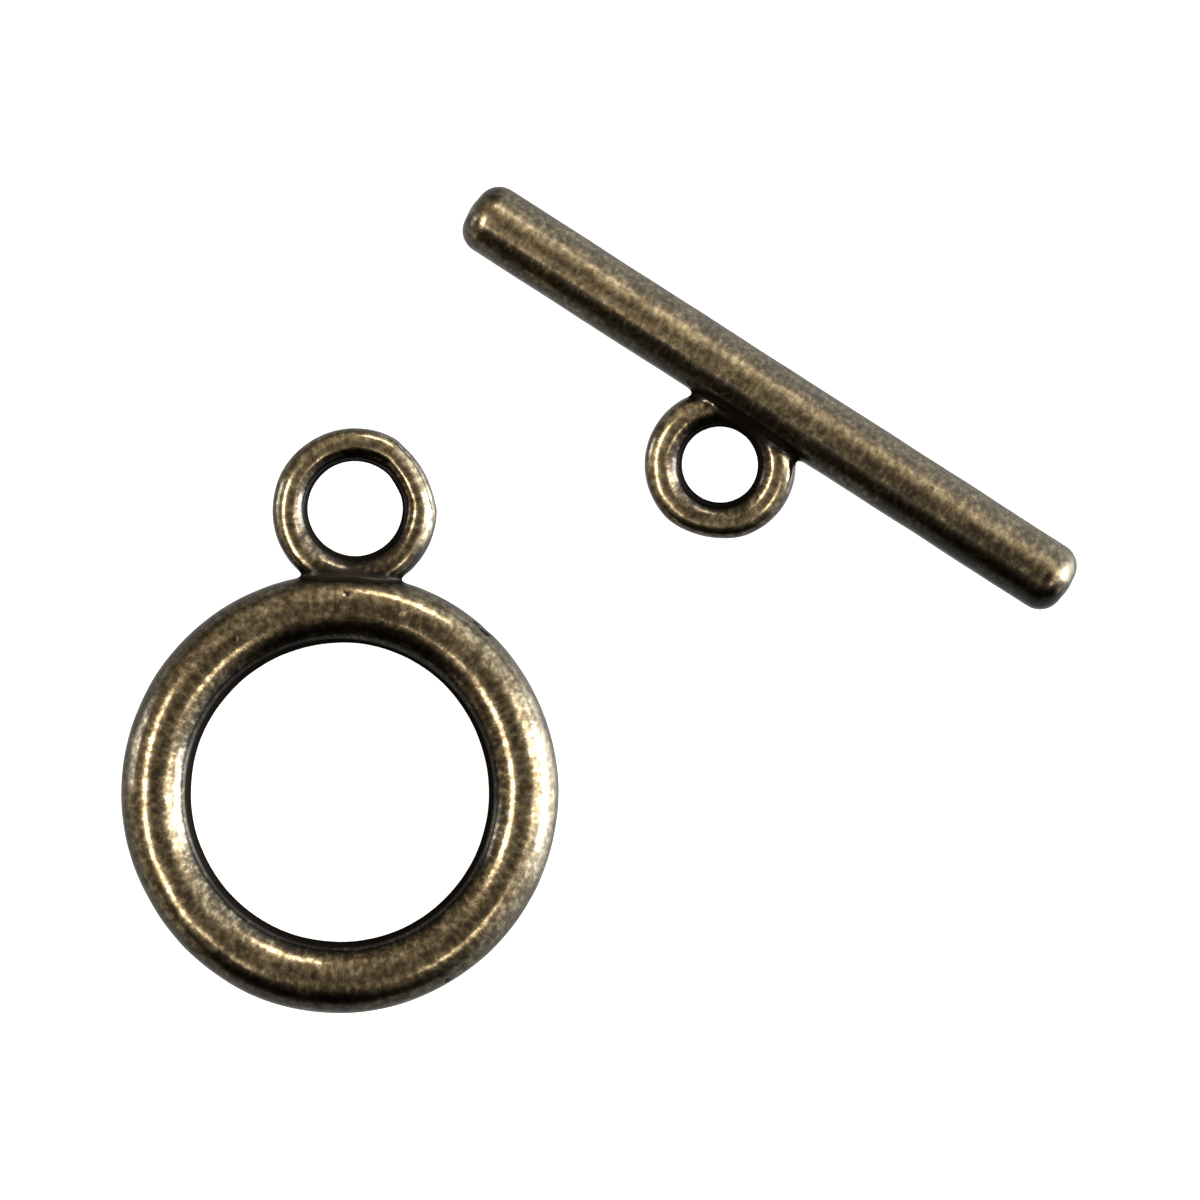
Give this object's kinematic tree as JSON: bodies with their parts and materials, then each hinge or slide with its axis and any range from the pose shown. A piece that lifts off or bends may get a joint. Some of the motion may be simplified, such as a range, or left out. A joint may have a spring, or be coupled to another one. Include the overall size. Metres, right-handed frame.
{
  "type": "toggle clasp",
  "caption": "Toggle clasp in antiqued brass finish: a round ring with a small eyelet, and a bar with an eyelet at its middle that threads through the ring and holds across it.",
  "frame": {"origin": "on the table, under the middle of the bounding box of both halves as they lie", "axes": "+Z up from the table, +X to the right and +Y up in the plan view, with the bar half lying up and to the right of the ring half"},
  "size_m": [0.0328, 0.0282, 0.0024],
  "materials": {
    "antique_brass": "tumbled, brass plated and antiqued, dark in the joints and rubbed bright on the crests"
  },
  "bodies": {
    "root": {"toggle_ring": "antique_brass", "toggle_bar": "antique_brass"}
  },
  "joints": []
}
